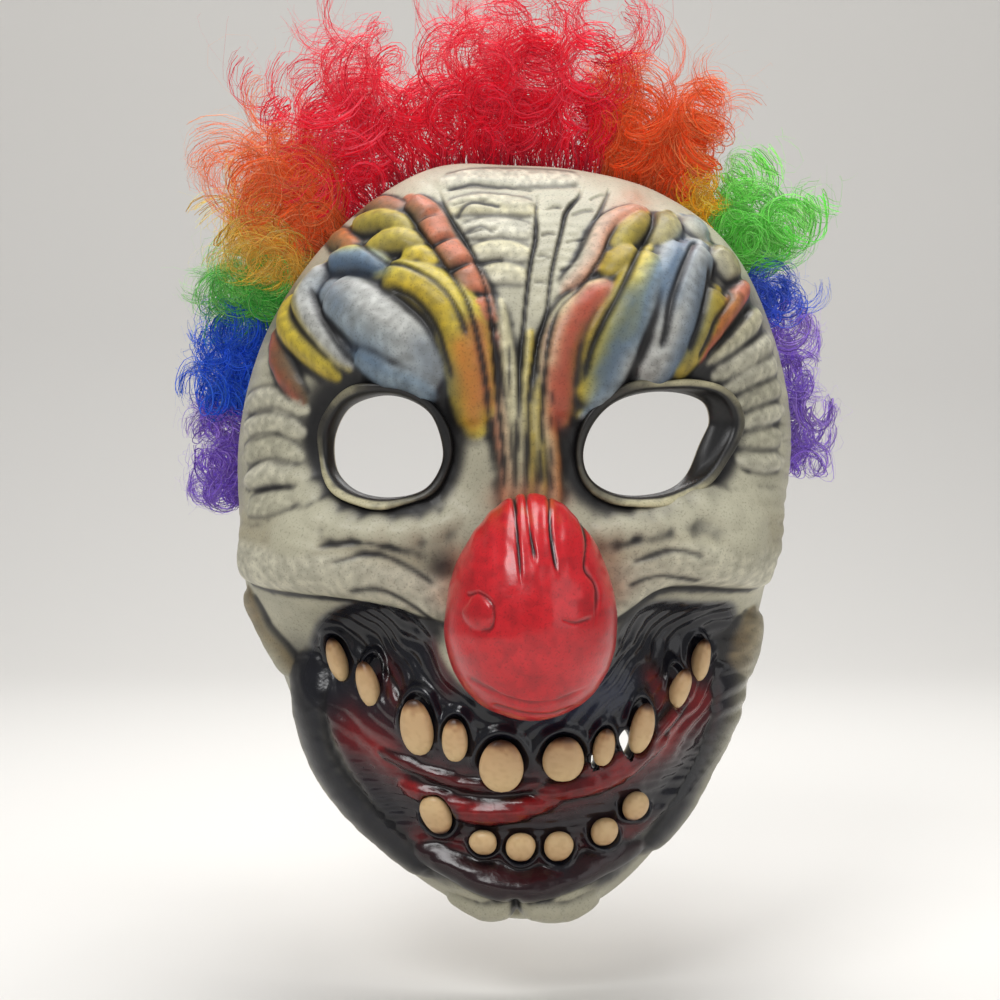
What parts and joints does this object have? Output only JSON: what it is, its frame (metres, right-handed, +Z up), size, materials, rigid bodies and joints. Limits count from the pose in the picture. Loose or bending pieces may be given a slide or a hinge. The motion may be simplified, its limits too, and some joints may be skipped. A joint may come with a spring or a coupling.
{
  "type": "clown mask",
  "caption": "Wrinkled latex horror clown face mask with a bulbous red nose, peg teeth, open eye holes, a rainbow curly wig edge and an elastic strap.",
  "frame": {"origin": "the point between the eyes on the mask's inside, where it sits on the bridge of the wearer's nose and brow", "axes": "+Z up, the face looks along -Y, +X towards the viewer's right"},
  "size_m": [0.2468, 0.245, 0.344],
  "materials": {
    "latex": "moulded latex, hand painted and washed with black, satin",
    "tooth": "moulded latex, painted tan, satin",
    "band": "open knitted wig band",
    "elastic": "woven flat elastic",
    "hair_red": "curly synthetic wig fibre",
    "hair_orange": "curly synthetic wig fibre",
    "hair_yellow": "curly synthetic wig fibre",
    "hair_green": "curly synthetic wig fibre",
    "hair_blue": "curly synthetic wig fibre",
    "hair_purple": "curly synthetic wig fibre"
  },
  "bodies": {
    "root": {"face_shell": "latex", "upper_tooth_1": "tooth", "upper_tooth_2": "tooth", "upper_tooth_3": "tooth", "upper_tooth_4": "tooth", "upper_tooth_5": "tooth", "upper_tooth_6": "tooth", "upper_tooth_7": "tooth", "upper_tooth_8": "tooth", "upper_tooth_9": "tooth", "upper_tooth_10": "tooth", "lower_tooth_1": "tooth", "lower_tooth_2": "tooth", "lower_tooth_3": "tooth", "lower_tooth_4": "tooth", "lower_tooth_5": "tooth", "lower_tooth_6": "tooth", "wig_band": "band", "hair_purple_right": "hair_purple", "hair_blue_right": "hair_blue", "hair_green_right": "hair_green", "hair_yellow_right": "hair_yellow", "hair_orange_right": "hair_orange", "hair_red": "hair_red", "hair_orange_left": "hair_orange", "hair_yellow_left": "hair_yellow", "hair_green_left": "hair_green", "hair_blue_left": "hair_blue", "hair_purple_left": "hair_purple", "elastic_strap": "elastic"}
  },
  "joints": []
}
